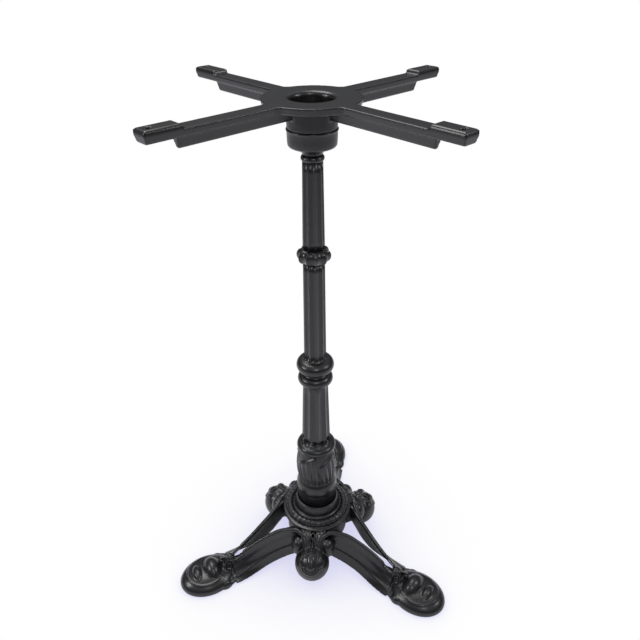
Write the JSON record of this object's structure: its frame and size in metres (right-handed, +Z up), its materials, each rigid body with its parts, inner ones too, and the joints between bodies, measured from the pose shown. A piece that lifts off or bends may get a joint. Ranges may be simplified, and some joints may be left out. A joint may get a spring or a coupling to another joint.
{
  "type": "three leg table base",
  "caption": "Cast-iron pedestal table base: splayed walled legs with domed feet, hanging knee drops, a fluted beaded column with a leaf bulb, and a crossed-arm top with screw pads.",
  "frame": {"origin": "where the column's axis meets the floor", "axes": "+Z up along the column, the four arms at 45 degrees between X and Y, the hidden foot near +Y, the front knee near -Y"},
  "size_m": [0.409, 0.3858, 0.72],
  "materials": {
    "black_casting": "satin black coating over sand-cast iron",
    "zinc_steel": "dull zinc plating"
  },
  "bodies": {
    "root": {"top_spider": "black_casting", "column_casting": "black_casting", "base_casting": "black_casting", "tie_rod": "zinc_steel", "top_washer": "zinc_steel", "top_nut": "zinc_steel", "bottom_washer": "zinc_steel", "bottom_nut": "zinc_steel"}
  },
  "joints": []
}
